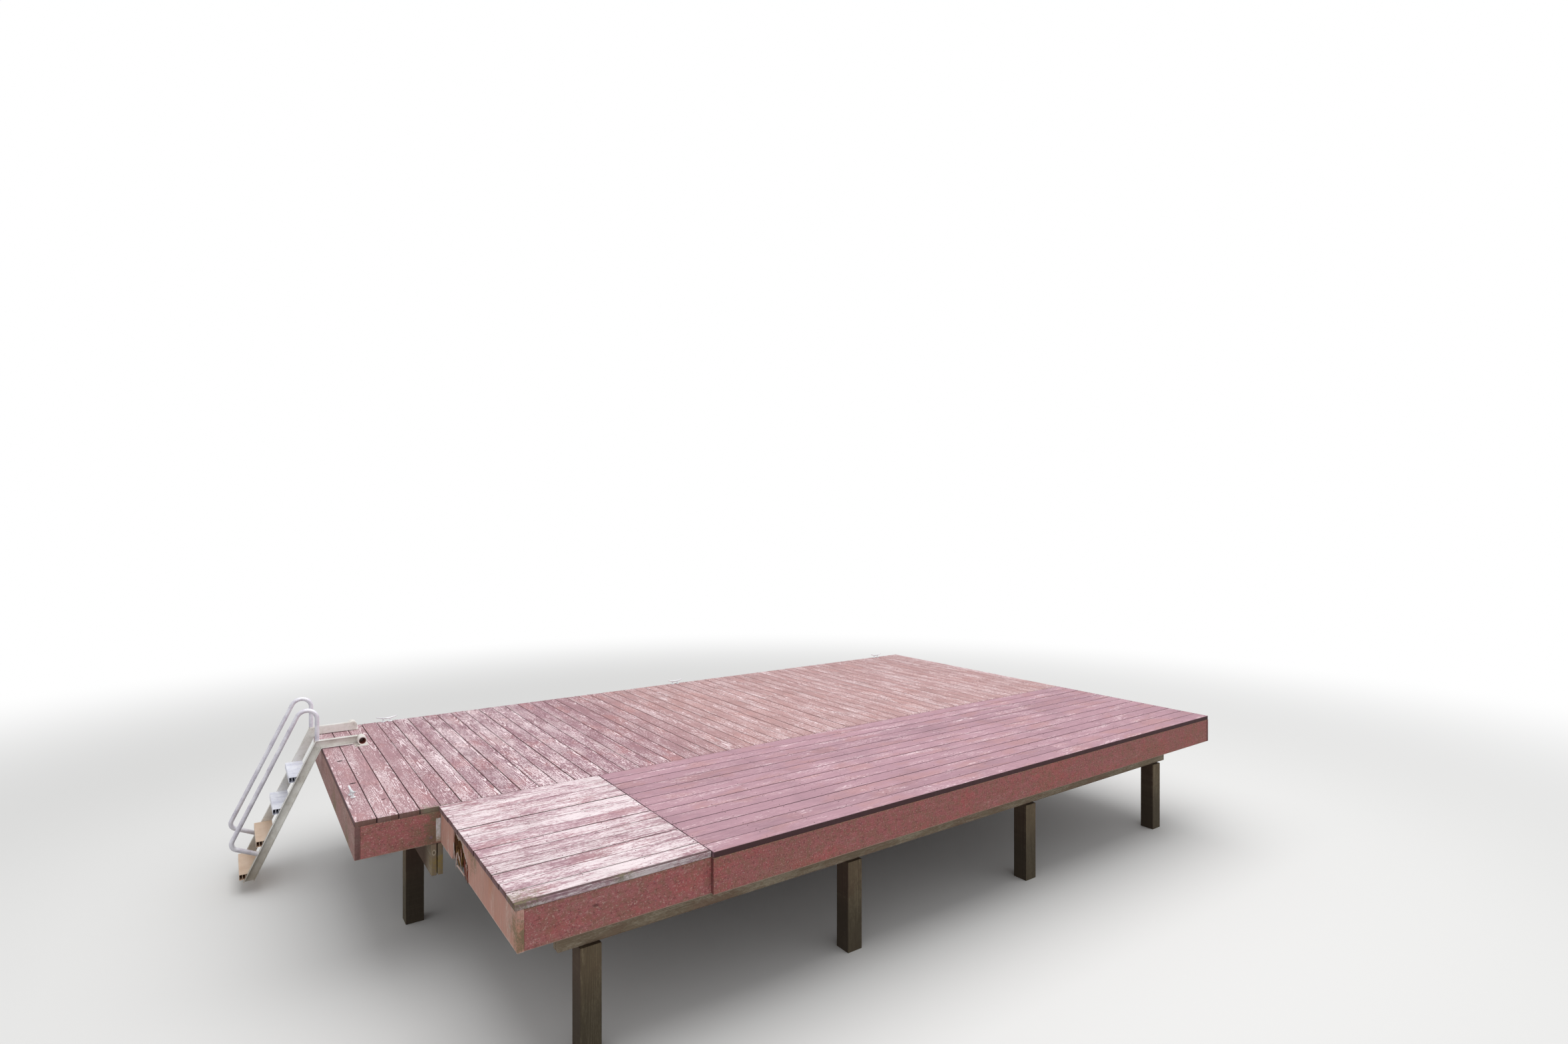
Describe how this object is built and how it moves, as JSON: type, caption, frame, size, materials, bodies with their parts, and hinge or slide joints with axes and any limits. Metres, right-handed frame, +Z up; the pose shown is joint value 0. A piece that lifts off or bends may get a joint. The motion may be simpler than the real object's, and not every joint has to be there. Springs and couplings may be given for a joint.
{
  "type": "wooden jetty",
  "caption": "Low timber jetty with a bank-side deck, a side platform with a rotted skirt, mooring cleats and a light metal flip-up ladder.",
  "frame": {"origin": "middle of the bounding box, level with the feet of the posts", "axes": "+X along the jetty away from the ladder, +Y from the bank towards the river, +Z up"},
  "size_m": [8.6688, 4.888, 1.5854],
  "materials": {
    "peeled_boards": "faded red-brown stain, worn to pale grain",
    "stained_boards": "dark red-brown stain, matte",
    "platform_boards": "peeling pale stain over weathered grain",
    "painted_rims": "red-brown paint, dull and stained",
    "frame_timber": "rough sawn, damp",
    "beam_timber": "rough sawn, greenish brown",
    "post_timber": "rough, dark towards the foot",
    "zinc_steel": "dull galvanised",
    "ladder_metal": "satin, mill finish",
    "tread_metal": "ribbed, satin"
  },
  "bodies": {
    "jetty": {"outer_decking": "peeled_boards", "inner_decking": "stained_boards", "platform_decking": "platform_boards", "front_fascia": "painted_rims", "river_fascia": "painted_rims", "left_rim": "painted_rims", "right_rim": "painted_rims", "outer_joists": "frame_timber", "ledger": "frame_timber", "inner_joists": "frame_timber", "platform_joists": "frame_timber", "inner_near_rim": "painted_rims", "inner_right_rim": "painted_rims", "platform_near_rim": "painted_rims", "platform_skirt": "painted_rims", "beam_left": "beam_timber", "beam_mid_left": "beam_timber", "beam_mid_right": "beam_timber", "beam_right": "beam_timber", "bank_beam": "beam_timber", "posts_left": "post_timber", "posts_mid_left": "post_timber", "posts_mid_right": "post_timber", "posts_right": "post_timber", "bank_posts": "post_timber", "corner_strap": "zinc_steel", "cleat_left": "zinc_steel", "cleat_river_left": "zinc_steel", "cleat_river_mid": "zinc_steel", "cleat_river_right": "zinc_steel", "hinge_bracket_near": "ladder_metal", "hinge_bracket_far": "ladder_metal"},
    "ladder": {"arm_near": "ladder_metal", "arm_far": "ladder_metal", "stringer_near": "ladder_metal", "stringer_far": "ladder_metal", "rail_bow_near": "ladder_metal", "rail_bow_far": "ladder_metal", "rail_run_near": "ladder_metal", "rail_run_far": "ladder_metal", "tread_1": "tread_metal", "tread_2": "tread_metal", "tread_3": "tread_metal", "tread_4": "tread_metal"}
  },
  "joints": [
    {"name": "ladder_hinge", "type": "hinge", "parent": "jetty", "child": "ladder", "pos_m": [-3.30558, 1.951, 1.244], "axis": [0, 1, 0], "range_deg": [0, 144]}
  ]
}
